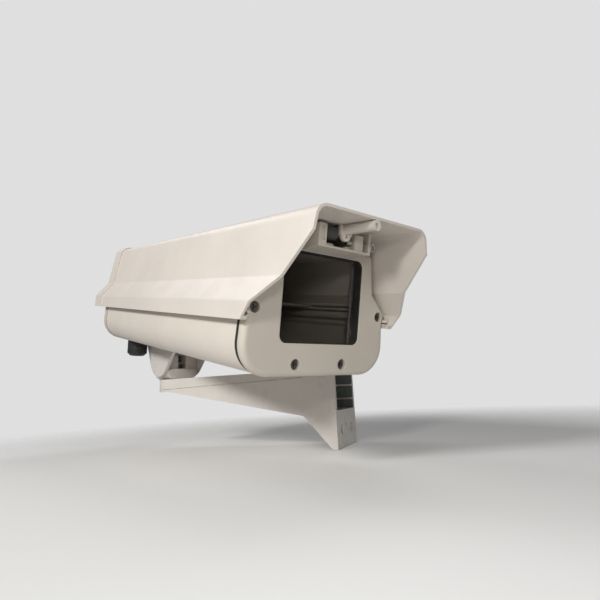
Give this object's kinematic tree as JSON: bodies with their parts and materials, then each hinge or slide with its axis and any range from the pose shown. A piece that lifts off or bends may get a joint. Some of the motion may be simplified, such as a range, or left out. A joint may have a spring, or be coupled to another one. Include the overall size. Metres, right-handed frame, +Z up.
{
  "type": "outdoor camera housing with wall bracket",
  "caption": "Outdoor camera housing with a sliding sun cover and window, on a pan and tilt head and a cast wall arm, folded back over its arm.",
  "frame": {"origin": "in the wall face, at the centre of the four wall holes", "axes": "+X across the wall plate, +Y from the arm into the wall, +Z up the wall"},
  "size_m": [0.347, 0.4598, 0.2732],
  "materials": {
    "cover_paint": "fine-textured cream powder coat, dusty",
    "body_paint": "fine-textured cream powder coat",
    "plate_paint": "greyish cream powder coat",
    "bracket_paint": "smooth off-white powder coat, scuffed edges",
    "window": "clear, dark behind",
    "seal_rubber": "matt black",
    "grey_rubber": "matt grey",
    "dark_steel": "blackened steel, satin",
    "zinc_steel": "zinc-plated, dull",
    "plain_aluminium": "mill finish",
    "gland_plastic": "black nylon"
  },
  "bodies": {
    "bracket": {"arm_bracket": "bracket_paint", "pan_bolt": "zinc_steel", "pan_nut": "zinc_steel", "pan_washers": "zinc_steel"},
    "head": {"pan_base": "bracket_paint"},
    "housing": {"cradle": "bracket_paint", "cradle_screws": "zinc_steel", "tilt_bolt": "dark_steel", "lower_body": "body_paint", "body_lid": "body_paint", "front_plate": "plate_paint", "window_gasket": "seal_rubber", "window_glass": "window", "glass_retainer": "plain_aluminium", "glass_screws": "zinc_steel", "front_plate_screws": "dark_steel", "rear_plate_screws": "dark_steel", "front_gasket": "seal_rubber", "rear_gasket": "seal_rubber", "rear_plate": "plate_paint", "camera_tray": "plain_aluminium", "camera_screw": "zinc_steel", "cable_gland": "gland_plastic", "gland_cap_nut": "gland_plastic", "gland_locknuts": "gland_plastic", "blanking_plug": "gland_plastic", "bolt_grip": "seal_rubber", "cover_buffer": "grey_rubber"},
    "cover": {"cover_shell": "cover_paint", "rear_cap": "cover_paint", "cap_screws": "dark_steel", "cover_catch": "cover_paint"},
    "latch": {"latch_bolt": "zinc_steel"}
  },
  "joints": [
    {"name": "pan", "type": "hinge", "parent": "bracket", "child": "head", "pos_m": [0, -0.2277, 0.03], "axis": [0, 0, 1], "range_deg": [-300, 0]},
    {"name": "tilt", "type": "hinge", "parent": "head", "child": "housing", "pos_m": [0, -0.2277, 0.05], "axis": [-0.866, 0.5, 0], "range_deg": [-36.5, 2.4]},
    {"name": "cover_slide", "type": "slide", "parent": "housing", "child": "cover", "axis": [-0.49, -0.8486, 0.1994], "range_m": [0, 0.3]},
    {"name": "latch", "type": "slide", "parent": "housing", "child": "latch", "axis": [0.866, -0.5, 0], "range_m": [0, 0.0038]}
  ]
}
